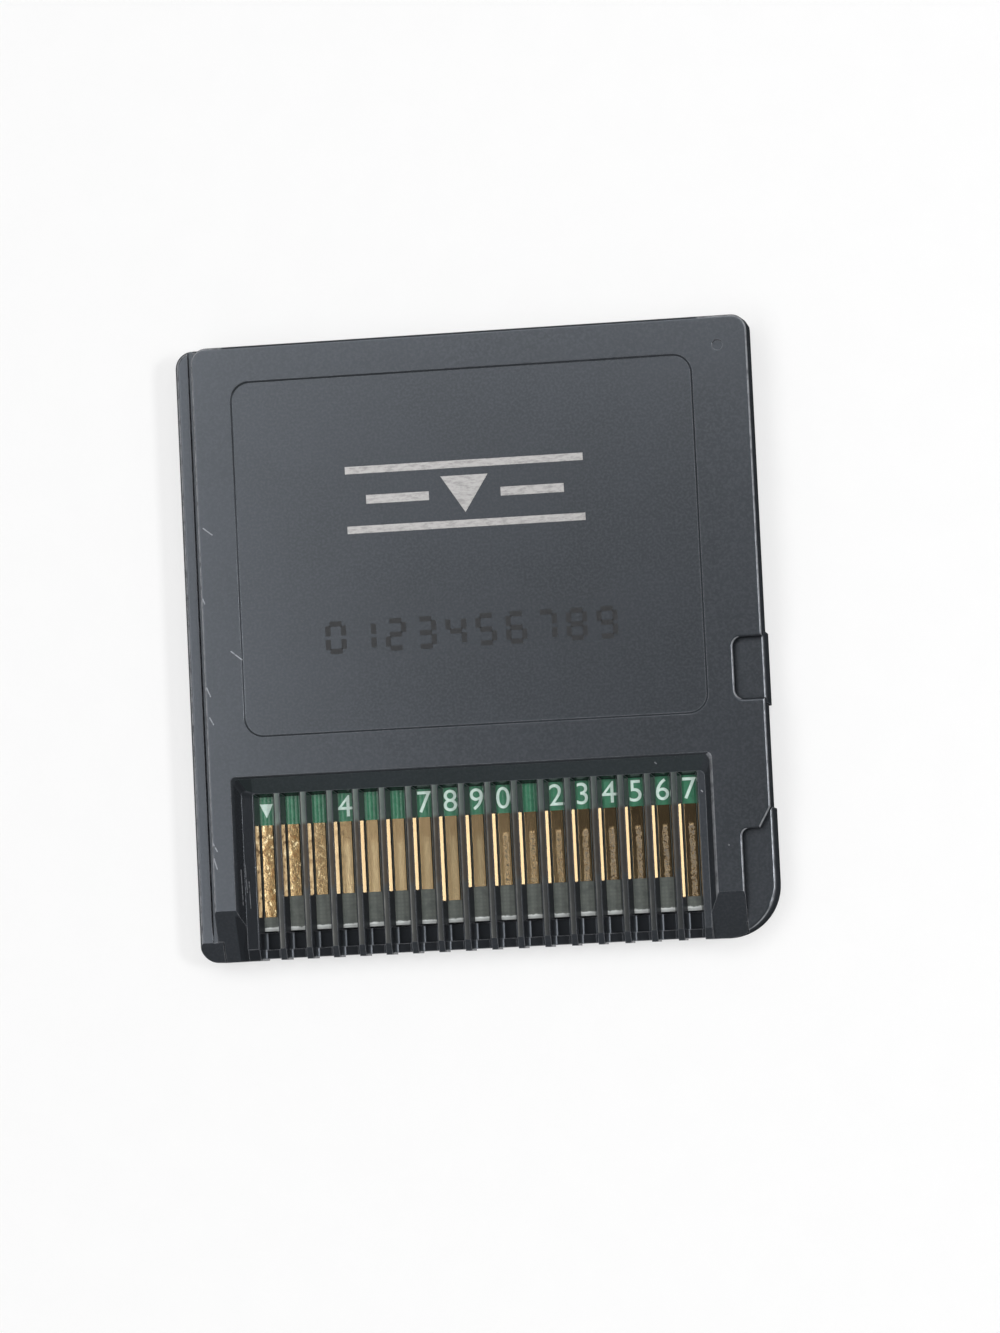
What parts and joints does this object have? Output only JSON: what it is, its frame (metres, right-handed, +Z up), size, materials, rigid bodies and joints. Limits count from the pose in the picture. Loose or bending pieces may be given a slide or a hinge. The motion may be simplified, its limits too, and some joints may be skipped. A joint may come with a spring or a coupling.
{
  "type": "game cartridge",
  "caption": "Flat moulded game card for a handheld console, with gilt edge contacts in a ribbed window, a keyed notch and a keyed corner.",
  "frame": {"origin": "centre of the label face, at its level", "axes": "+Z up out of the contact side, -Y the way the contact end goes into its slot, +X towards the keyed notch"},
  "size_m": [0.033, 0.035, 0.0038],
  "materials": {
    "shell_plastic": "fine moulded texture, semi-matt dark grey",
    "board_laminate": "green solder mask, bare grey laminate at the contact end",
    "contact_gilt": "gold plating with worn, tarnished strips",
    "chip_resin": "moulded resin",
    "lead_metal": "tinned",
    "capacitor_ceramic": "fired ceramic with tinned ends",
    "resistor_ceramic": "glazed ceramic with tinned ends"
  },
  "bodies": {
    "root": {"back_shell": "shell_plastic", "front_shell": "shell_plastic", "circuit_board": "board_laminate", "contact_01": "contact_gilt", "contact_02": "contact_gilt", "contact_03": "contact_gilt", "contact_04": "contact_gilt", "contact_05": "contact_gilt", "contact_06": "contact_gilt", "contact_07": "contact_gilt", "contact_08": "contact_gilt", "contact_09": "contact_gilt", "contact_10": "contact_gilt", "contact_11": "contact_gilt", "contact_12": "contact_gilt", "contact_13": "contact_gilt", "contact_14": "contact_gilt", "contact_15": "contact_gilt", "contact_16": "contact_gilt", "contact_17": "contact_gilt", "memory_chip": "chip_resin", "save_chip": "chip_resin", "memory_chip_leads": "lead_metal", "save_chip_leads": "lead_metal", "capacitor_1": "capacitor_ceramic", "capacitor_2": "capacitor_ceramic", "resistor_1": "resistor_ceramic", "resistor_2": "resistor_ceramic"}
  },
  "joints": []
}
